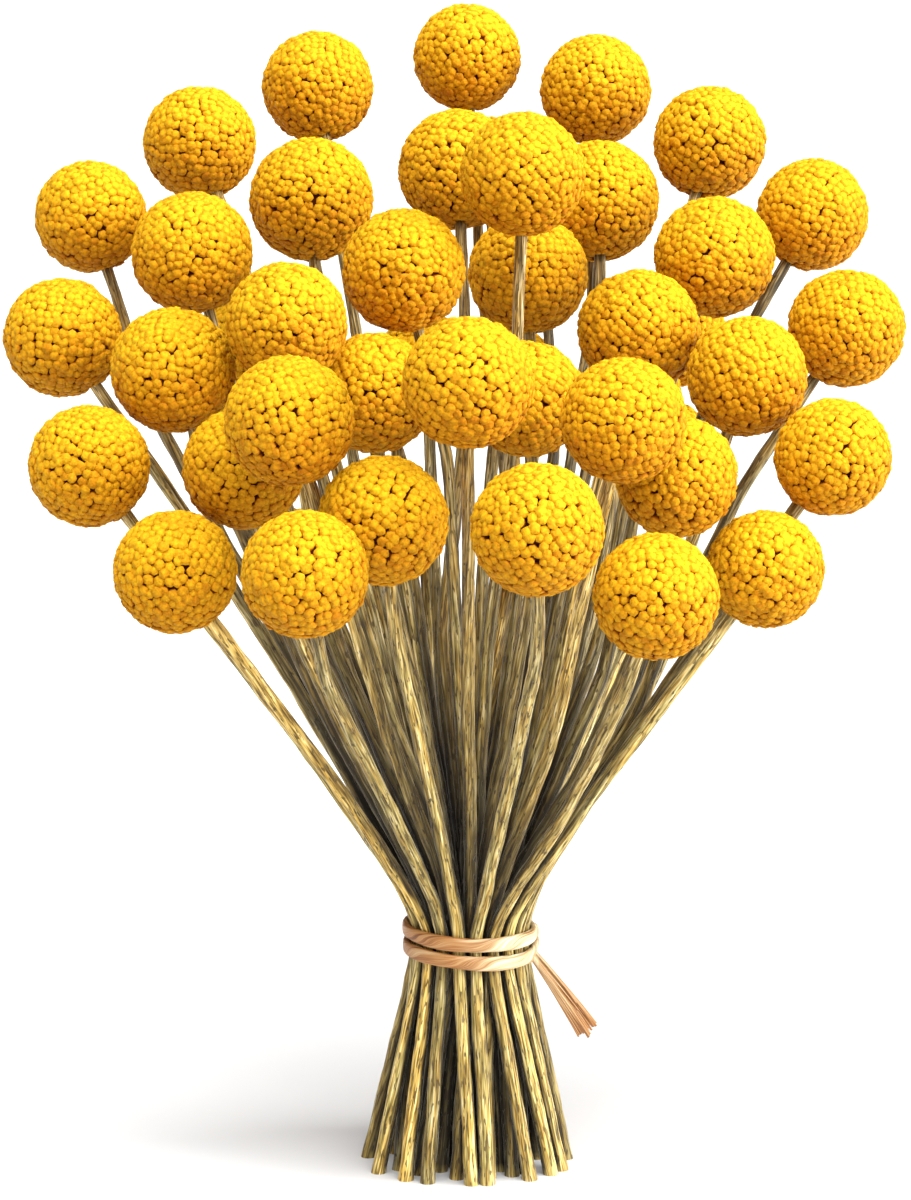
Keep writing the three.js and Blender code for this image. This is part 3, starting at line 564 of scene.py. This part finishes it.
# Each point moves to its floret's root on the head, some deeper than others, with its outward direction
# kept for the material.
outward = add(head_tree, "ShaderNodeVectorMath", [even], operation="NORMALIZE")
root_radius = add(
    head_tree, "ShaderNodeMath", [given["Radius"], given["Floret Height"]], operation="SUBTRACT")
depth = add(head_tree, "FunctionNodeRandomValue", {"Min": -FLORET_SINK, "Max": 0.0, "Seed": given["Seed"]})
depth = add(head_tree, "ShaderNodeMath", [root_radius, depth], operation="ADD")
root = add(head_tree, "ShaderNodeVectorMath", {"Vector": outward, "Scale": depth}, operation="SCALE")
root = add(head_tree, "ShaderNodeVectorMath", [root, given["Middle"]], operation="ADD")
florets = add(head_tree, "GeometryNodeStoreNamedAttribute", [florets, None, "outward", outward],
              data_type="FLOAT_VECTOR")
florets = add(head_tree, "GeometryNodeSetPosition", [florets, None, root])

# A floret of any form stands on every point but those at the stem, leaning and turned by chance.
outward = add(head_tree, "GeometryNodeInputNamedAttribute", ["outward"], data_type="FLOAT_VECTOR")
near_stem = add(head_tree, "ShaderNodeVectorMath", [outward, given["Stem"]], operation="DOT_PRODUCT")
near_stem = near_stem.node.outputs["Value"]
clear = add(head_tree, "ShaderNodeMath", [given["Bare Round Stem"]], operation="COSINE")
grows = add(head_tree, "ShaderNodeMath", [near_stem, clear], operation="LESS_THAN")
upright = add(head_tree, "FunctionNodeAlignRotationToVector", {"Vector": outward}, axis="Z")
lean = add(head_tree, "FunctionNodeRandomValue", {
    "Min": (-FLORET_LEAN, -FLORET_LEAN, 0.0), "Max": (FLORET_LEAN, FLORET_LEAN, math.tau),
    "Seed": given["Seed"]}, data_type="FLOAT_VECTOR")
lean = add(head_tree, "FunctionNodeEulerToRotation", [lean])
upright = add(head_tree, "FunctionNodeRotateRotation", [upright, lean], rotation_space="LOCAL")
form = add(head_tree, "FunctionNodeRandomValue", {
    "Min": 0, "Max": len(FLORET_LOBES) - 1, "Seed": given["Seed"]}, data_type="INT")
size = add(head_tree, "FunctionNodeRandomValue", {
    "Min": FLORET_LEAST, "Max": FLORET_MOST, "Seed": given["Seed"]}, data_type="FLOAT_VECTOR")
forms = add(head_tree, "GeometryNodeCollectionInfo", [given["Forms"], True, True])
florets = add(head_tree, "GeometryNodeInstanceOnPoints", {
    "Points": florets, "Selection": grows, "Instance": forms, "Pick Instance": True, "Instance Index": form,
    "Rotation": upright, "Scale": size})
tone = add(head_tree, "FunctionNodeRandomValue", {"Seed": given["Seed"]})
florets = add(head_tree, "GeometryNodeStoreNamedAttribute", [florets, None, "tone", tone], domain="INSTANCE")
florets = add(head_tree, "GeometryNodeRealizeInstances", [florets])
whole = add(head_tree, "GeometryNodeJoinGeometry", [given["Core"]])
head_tree.links.new(florets, whole.node.inputs[0])
whole = add(head_tree, "GeometryNodeStoreNamedAttribute", [whole, None, "ripeness", given["Ripeness"]])
whole = add(head_tree, "GeometryNodeSetMaterial", [whole, None, given["Surface"]])
add(head_tree, "NodeGroupOutput", [whole])

# Dried florets, matte, with the faint bloom of their fine fuzz. Lemon to golden yellow tips, each floret a
# little different, over orange sides and gaps darkened to red-brown, partly painted shade. On the upper side
# of a head the gaps are painted paler, as light from above, and underneath painted shade turns the yellow
# into a deeper orange.
dried_florets, tree, shader = new_material("dried_florets_matte")
rise = add(tree, "ShaderNodeAttribute", attribute_name="rise").node.outputs["Fac"]
tone = add(tree, "ShaderNodeAttribute", attribute_name="tone").node.outputs["Fac"]
ripeness = add(tree, "ShaderNodeAttribute", attribute_name="ripeness").node.outputs["Fac"]
outward = add(tree, "ShaderNodeAttribute", attribute_name="outward").node.outputs["Vector"]
outward = add(tree, "ShaderNodeSeparateXYZ", [outward]).node.outputs["Z"]
# Painted light: on florets facing up, the darkening into the gaps is cut short, as if light from above fills
# them.
shade = add(tree, "ShaderNodeMapRange", {
    "Value": outward, "From Min": -0.1, "From Max": 0.7, "To Min": 1.0, "To Max": 0.4})
fall = add(tree, "ShaderNodeMath", [1.0, rise], operation="SUBTRACT")
fall = add(tree, "ShaderNodeMath", [fall, shade], operation="MULTIPLY")
rise = add(tree, "ShaderNodeMath", [1.0, fall], operation="SUBTRACT")
# The colour darkens from the tips down to the roots and core: partly the florets' own orange, partly painted
# shade in the gaps.
stops = (0.0, 0.48, 0.7, 0.85, 1.0)
lemon = ramp(tree, rise, stops, ("#4E1702", "#823503", "#B36604", "#D29508", "#E0AF14"))
golden = ramp(tree, rise, stops, ("#441102", "#772C02", "#A85A03", "#CB8806", "#DCA20F"))
warm = add(tree, "ShaderNodeMapRange", {"Value": tone, "From Min": 0.3, "To Max": 0.8})
colour = add(tree, "ShaderNodeMix", {"Factor": warm, "A": lemon, "B": golden}, data_type="RGBA")
colour = add(tree, "ShaderNodeMix", {"Factor": ripeness, "A": colour, "B": golden}, data_type="RGBA")
# Painted shade: the underside of each head is darkened to a deeper orange.
under = add(tree, "ShaderNodeMapRange", {"Value": outward, "From Min": 0.6, "From Max": -0.6})
deeper = add(tree, "ShaderNodeVectorMath", [colour, (0.74, 0.62, 0.5)], operation="MULTIPLY")
colour = add(tree, "ShaderNodeMix", {"Factor": under, "A": colour, "B": deeper}, data_type="RGBA")
place = add(tree, "ShaderNodeTexCoord").node.outputs["Object"]
fine = add(tree, "ShaderNodeTexNoise", {"Vector": place, "Scale": 1 / (0.75 * MM), "Detail": 2.0})
fleck = add(tree, "ShaderNodeMapRange", {
    "Value": fine, "From Min": 0.3, "From Max": 0.7, "To Min": 0.72, "To Max": 1.16})
colour = add(tree, "ShaderNodeVectorMath", {"Vector": colour, "Scale": fleck}, operation="SCALE")
tree.links.new(colour, shader.inputs["Base Color"])
shader.inputs["Roughness"].default_value = 0.75
shader.inputs["Specular IOR Level"].default_value = 0.12
shader.inputs["Sheen Weight"].default_value = 0.2
shader.inputs["Sheen Roughness"].default_value = 0.5
shader.inputs["Sheen Tint"].default_value = linear("#FFD820")
bump = add(tree, "ShaderNodeBump", {"Strength": 0.8, "Distance": 0.5 * MM, "Height": fine})
tree.links.new(bump, shader.inputs["Normal"])

for number, node in enumerate(head_nodes, 1):
    middle, radius = heads[node]
    core_radius = radius - CORE_DEPTH * FLORET_HEIGHT
    bpy.ops.mesh.primitive_ico_sphere_add(subdivisions=2, radius=core_radius, location=(0, 0, 0))
    core = bpy.context.object
    core.data.transform(Matrix.Translation(middle))
    bpy.context.collection.objects.unlink(core)
    floret_area = FLORET_PITCH ** 2 * math.sin(math.pi / 3)
    piece = grown(f"button_head_{number:02d}", core, head_tree, {
        "Middle": middle, "Radius": radius, "Floret Height": FLORET_HEIGHT,
        "Florets": round(4 * math.pi * radius ** 2 / floret_area),
        "Spacing": FLORET_ROOM * FLORET_PITCH / radius, "Evening Steps": EVENING_STEPS,
        "Evening Push": EVENING_PUSH, "Turn": [chance.uniform(0, math.tau) for _ in range(3)],
        "Stem": head_stem[node], "Bare Round Stem": math.radians(BARE_ROUND_STEM),
        "Ripeness": chance.uniform(0.0, RIPEST), "Seed": number, "Forms": floret_forms,
        "Surface": dried_florets})
    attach(piece, "root")
    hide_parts(node)

# ---------------------------------------------------------------- Raffia tie
# One strand of raffia palm leaf, torn into flat fibres and slightly twisted as it was pulled tight twice
# around the waist. It is knotted behind the right side, and its two ends fan out from under the lower wrap.

TIE_MIDDLE = Vector((0.7, -3.0)) * MM
TIE_RADIUS = 15.68 * MM
TIE_HEIGHTS = ((60.1 * MM, 0.04), (55.6 * MM, 0.055))  # height at the middle, and fall to the right
STRAND_WIDTH = 3.5 * MM
STRAND_THICKNESS = 1.7 * MM
STRAND_FIBRES = 7
STRAND_SQUARENESS = 0.7  # 1 for an oval strand, less for one with flatter sides
FIBRE_LAY = 34.0 * MM  # length of strand in which its fibres turn once around it
FIBRE_GROOVE = 0.09  # depth of the groove between two fibres, as a share of the strand's thickness
WRAP_STEPS = 180
WRAP_POINTS = 42
WRAP_WAVE = (0.08 * MM, 0.12 * MM)  # how far a wrap strays outwards and in height
WAVE_PHASE = 400  # radians for each metre of height, so that the two wraps differ
WIDTH_WAVE = 0.05
WIDTH_PHASE = 900
WRAPS_RIGHT = 17.5 * MM  # x past which there are only the loose ends
KNOT_ANGLE = math.radians(106)
KNOT_HEIGHT = 57.4 * MM
KNOT_LEANS = (-0.3, 0.35)
KNOT_REACH = 2.6 * MM  # its half width, for a turn that leans by 1
KNOT_GAP = 0.1 * MM
KNOT_HALF_DEPTH = 1.15 * MM
KNOT_HALF_HEIGHT = 3.2 * MM
KNOT_WIDTH = 2.5 * MM
KNOT_THICKNESS = 0.9 * MM
KNOT_FIBRES = 5
KNOT_STEPS = 48
KNOT_POINTS = 20
END_STEPS = 18
END_POINTS = 10
END_GROOVES = 2
END_ROOT_HEIGHT = 55.1 * MM
END_ROOT_WIDTH = 0.9 * MM
END_TILT = Vector((0.6, 0.0, 0.8))  # the loose ends lie flat against this direction
END_RAGGED = (-1.6, 0.5)  # mm past the tip at which a fibre ends
END_THICKNESS = (0.28, 0.4)  # mm
END_FIBRE_WIDTH = (0.42, 0.16, 0.05)  # mm at the root, how much more at the tip, and how much it varies
END_BOW = (0.6, 0.3, 0.2)  # mm that a fibre's middle bows out along x, and at the most along y and z
LOOSE_ENDS = (  # degrees, tip, width at the tip, fibres
    (82, (30.8, -11.3, 37.3), 2.7, 8), (70, (28.9, -13.2, 35.6), 2.7, 8), (78, (27.0, -11.8, 42.6), 0.7, 2))

chance = random.Random(11)
tie_corners = []
tie_faces = []
tie_fibre = []


def strand(places, outwards, widths, thicknesses, points, fibres, turns, closed=False):
    """Adds a strand of twisted fibres that follows the places, flat towards the outward directions."""
    first = len(tie_corners)
    count = len(places)
    apart = chance.uniform(0, 1)
    along = 0.0
    for i, (place, outward) in enumerate(zip(places, outwards)):
        ahead = places[(i + 1) % count] if closed or i + 1 < count else place
        behind = places[i - 1] if closed or i > 0 else place
        forward = (ahead - behind).normalized()
        out = (outward - forward * outward.dot(forward)).normalized()
        across = out.cross(forward)
        if i:
            along += (place - places[i - 1]).length
        for j in range(points):
            angle = math.tau * j / points - math.pi / 2
            parts = (math.cos(angle), math.sin(angle))
            across_share, out_share = (math.copysign(abs(part) ** STRAND_SQUARENESS, part) for part in parts)
            share = j / points + turns * i / count
            ridge = 1 - FIBRE_GROOVE * (1 - abs(math.sin(math.pi * fibres * share + 2.0 * apart))) ** 2
            wide = widths[i] / 2 * ridge * across_share
            thick = thicknesses[i] / 2 * ridge * out_share
            tie_corners.append(place + across * wide + out * thick)
            tie_fibre.append((share * 2 * (widths[i] + thicknesses[i]), apart, along))
    last = count if closed else count - 1
    for i in range(last):
        for j in range(points):
            a, b = i * points, (i + 1) % count * points
            k = (j + 1) % points
            tie_faces.append((first + a + j, first + b + j, first + b + k, first + a + k))
    if not closed:
        tie_faces.append(tuple(first + j for j in range(points)))
        tie_faces.append(tuple(first + (count - 1) * points + j for j in reversed(range(points))))


def round_waist(angle, radius, height, fall):
    """A point on the tie. The angle runs from the front to the right."""
    x = TIE_MIDDLE.x + radius * math.sin(angle)
    return Vector((x, TIE_MIDDLE.y - radius * math.cos(angle), height - fall * radius * math.sin(angle)))


for height, fall in TIE_HEIGHTS:
    places, outwards, widths = [], [], []
    for i in range(WRAP_STEPS):
        angle = math.tau * i / WRAP_STEPS + KNOT_ANGLE
        out_wave, up_wave = (size * math.sin(3 * angle + height * WAVE_PHASE) for size in WRAP_WAVE)
        places.append(round_waist(angle, TIE_RADIUS + out_wave, height + up_wave, fall))
        outwards.append(Vector((math.sin(angle), -math.cos(angle), 0)))
        widths.append(STRAND_WIDTH * (1 + WIDTH_WAVE * math.sin(5 * angle + height * WIDTH_PHASE)))
    turns = round(math.tau * TIE_RADIUS / FIBRE_LAY)
    strand(places, outwards, widths, [STRAND_THICKNESS] * WRAP_STEPS, WRAP_POINTS, STRAND_FIBRES, turns, True)

# The knot is two turns of the strand, pulled thin, that lean across each other around both wraps.
for lean in KNOT_LEANS:
    places, outwards = [], []
    for i in range(KNOT_STEPS):
        turn = math.tau * i / KNOT_STEPS
        angle = KNOT_ANGLE + lean * math.sin(turn) * KNOT_REACH / TIE_RADIUS
        radius = TIE_RADIUS + KNOT_GAP + KNOT_HALF_DEPTH * math.cos(turn)
        places.append(round_waist(angle, radius, KNOT_HEIGHT + KNOT_HALF_HEIGHT * math.sin(turn), 0))
        outwards.append(places[-1] - round_waist(angle, TIE_RADIUS, KNOT_HEIGHT, 0))
    widths, thicknesses = [KNOT_WIDTH] * KNOT_STEPS, [KNOT_THICKNESS] * KNOT_STEPS
    strand(places, outwards, widths, thicknesses, KNOT_POINTS, KNOT_FIBRES, 1, True)

# The loose ends are flat and have split into single fibres, which spread and bow out a little.
for degrees, tip, width, fibres in LOOSE_ENDS:
    root = round_waist(math.radians(degrees), TIE_RADIUS, END_ROOT_HEIGHT, 0)
    tip = Vector(tip) * MM
    forward = (tip - root).normalized()
    out = forward.cross(END_TILT).normalized()
    across = forward.cross(out).normalized()
    for fibre in range(fibres):
        side = fibre / (fibres - 1) - 0.5
        end = tip + across * side * width * MM + forward * chance.uniform(*END_RAGGED) * MM
        start = root + across * side * END_ROOT_WIDTH
        bow_x, bow_y, bow_z = END_BOW
        bow = Vector((bow_x, chance.uniform(-bow_y, bow_y), chance.uniform(-bow_z, bow_z))) * MM
        middle = start.lerp(end, 0.5) + bow
        places, widths = [], []
        narrow, widening, wave = END_FIBRE_WIDTH
        for i in range(END_STEPS):
            t = i / (END_STEPS - 1)
            places.append(start * (1 - t) ** 2 + middle * 2 * t * (1 - t) + end * t * t)
            widths.append((narrow + widening * t + wave * math.sin(t * 11 + fibre)) * MM)
        thicknesses = [chance.uniform(*END_THICKNESS) * MM] * END_STEPS
        strand(places, [out] * END_STEPS, widths, thicknesses, END_POINTS, END_GROOVES, 0.2)

mesh = bpy.data.meshes.new("raffia_strand")
mesh.from_pydata(tie_corners, [], tie_faces)
mesh.shade_smooth()
fibre = mesh.attributes.new("fibre", "FLOAT_VECTOR", "POINT")
fibre.data.foreach_set("vector", [c for place in tie_fibre for c in place])
raffia_strand = bpy.data.objects.new("raffia_strand", mesh)
bpy.context.collection.objects.link(raffia_strand)

# Raffia, dried and split palm leaf: silky straw-coloured fibres with a satin sheen and thin brown edges,
# more orange and darker towards the left, and in the loose ends.
raffia, tree, shader = new_material("raffia_satin_twisted")
fibre = add(tree, "ShaderNodeAttribute", attribute_name="fibre").node.outputs["Vector"]
leaf_place = add(tree, "ShaderNodeVectorMath", [
    fibre, (1 / (0.9 * MM), 7.0, 1 / (16 * MM))], operation="MULTIPLY")
leaf = add(tree, "ShaderNodeTexNoise", {"Vector": leaf_place, "Scale": 1.0, "Detail": 0.0})
hair_place = add(tree, "ShaderNodeVectorMath", [
    fibre, (1 / (0.2 * MM), 9.0, 1 / (9 * MM))], operation="MULTIPLY")
hair = add(tree, "ShaderNodeTexNoise", {"Vector": hair_place, "Scale": 1.0, "Detail": 1.0})
line = add(tree, "ShaderNodeMath", [leaf, 0.55], operation="MULTIPLY")
line = add(tree, "ShaderNodeMath", [hair, 0.45, line], operation="MULTIPLY_ADD")
stops = (0.32, 0.41, 0.5, 0.6, 0.7)
cream = ramp(tree, line, stops, ("#7E5628", "#AE8C5C", "#C6AF84", "#D2C3A4", "#DAD1BD"))
peach = ramp(tree, line, stops, ("#6A3A12", "#945C28", "#AB763E", "#BA8D5A", "#C8A87C"))
place = add(tree, "ShaderNodeTexCoord").node.outputs["Object"]
sideways = add(tree, "ShaderNodeSeparateXYZ", [place]).node.outputs["X"]
# Towards the left the colour goes over into the darker peach.
towards_left = add(tree, "ShaderNodeMapRange", {"Value": sideways, "From Min": 11 * MM, "From Max": -3 * MM})
colour = add(tree, "ShaderNodeMix", {"Factor": towards_left, "A": cream, "B": peach}, data_type="RGBA")
frayed = add(tree, "ShaderNodeMapRange", {
    "Value": sideways, "From Min": 17 * MM, "From Max": 32 * MM, "To Min": 0.5, "To Max": 1.0})
past_wraps = add(tree, "ShaderNodeMath", [sideways, WRAPS_RIGHT], operation="GREATER_THAN")
frayed = add(tree, "ShaderNodeMath", [frayed, past_wraps], operation="MULTIPLY")
colour = add(tree, "ShaderNodeMix", {"Factor": frayed, "A": colour, "B": peach}, data_type="RGBA")
tree.links.new(colour, shader.inputs["Base Color"])
shader.inputs["Roughness"].default_value = 0.45
bump = add(tree, "ShaderNodeBump", {"Strength": 0.5, "Distance": 0.2 * MM, "Height": hair})
tree.links.new(bump, shader.inputs["Normal"])
raffia_strand.data.materials.append(raffia)
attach(raffia_strand, "root")
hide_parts("raffia_tie")

# ---------------------------------------------------------------- Floor, light and camera
# The bunch stands on a seamless white studio floor, under three large soft lights: the key light from the
# front right, a strong one overhead and one from the right side.

FLOOR_HALF = 30.0
floor_corners = [(x * FLOOR_HALF, y * FLOOR_HALF, 0) for x, y in ((-1, -1), (1, -1), (1, 1), (-1, 1))]
mesh = bpy.data.meshes.new("studio_floor")
mesh.from_pydata(floor_corners, [], [(0, 1, 2, 3)])
floor = bpy.data.objects.new("studio_floor", mesh)
bpy.context.collection.objects.link(floor)
paper, tree, shader = new_material("white_backdrop_paper_matte")
place = add(tree, "ShaderNodeTexCoord").node.outputs["Object"]
cloud = add(tree, "ShaderNodeTexNoise", {"Vector": place, "Scale": 3.0, "Detail": 2.0})
white = ramp(tree, cloud, (0.0, 1.0), ("#D0D0D0", "#D8D8D8"))
tree.links.new(white, shader.inputs["Base Color"])
shader.inputs["Roughness"].default_value = 0.9
shader.inputs["Specular IOR Level"].default_value = 0.1
floor.data.materials.append(paper)

world = bpy.data.worlds.new("studio")
bpy.context.scene.world = world
world.use_nodes = True
background = world.node_tree.nodes["Background"]
background.inputs["Color"].default_value = linear("#FDFDFF")
background.inputs["Strength"].default_value = 0.15


def sun(name, strength, degrees, colour, towards):
    """A large soft light: its width as seen from the bunch in degrees, and the direction it comes from."""
    light = bpy.data.objects.new(name, bpy.data.lights.new(name, "SUN"))
    light.data.energy = strength
    light.data.angle = math.radians(degrees)
    light.data.color = linear(colour)[:3]
    light.rotation_euler = Vector(towards).to_track_quat("Z", "Y").to_euler()
    bpy.context.collection.objects.link(light)


sun("key_light", 2.2, 60, "#FFFFFF", (0.45, -0.8, 0.6))
sun("top_light", 5.0, 70, "#FFFFFF", (0.0, -0.3, 1.0))
sun("side_light", 4.8, 35, "#FFFFFF", (1.0, -0.25, 0.3))

# The camera stands a metre in front of the bunch and looks 10 degrees down on it.
camera = bpy.data.objects.new("camera", bpy.data.cameras.new("camera"))
camera.data.lens = 125
camera.location = (-0.0028, -0.9938, 0.3166)
camera.rotation_euler = Euler((math.radians(80), 0, 0))
bpy.context.collection.objects.link(camera)
bpy.context.scene.camera = camera
bpy.context.scene.view_settings.view_transform = "Standard"
